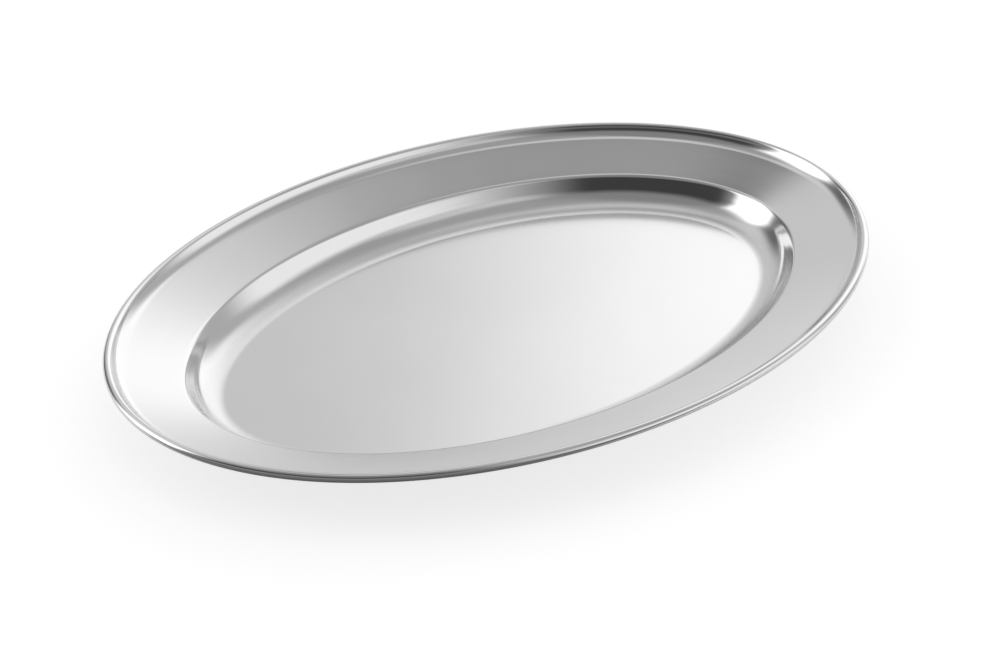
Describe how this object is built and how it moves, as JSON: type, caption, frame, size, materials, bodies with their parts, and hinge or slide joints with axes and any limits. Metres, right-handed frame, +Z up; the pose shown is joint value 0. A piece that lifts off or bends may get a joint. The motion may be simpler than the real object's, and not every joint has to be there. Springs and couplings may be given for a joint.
{
  "type": "serving tray",
  "caption": "Oval pressed stainless steel serving platter with a shallow well, a wide sloping flange and a rolled edge.",
  "frame": {"origin": "centre of the flat underside, on the surface that the tray rests on", "axes": "+X along the tray's length, +Y along its width, +Z up out of the well"},
  "size_m": [0.35, 0.24, 0.025],
  "materials": {
    "stainless_steel": "bright satin, polished at the roll and the well's wall"
  },
  "bodies": {
    "root": {"tray": "stainless_steel"}
  },
  "joints": []
}
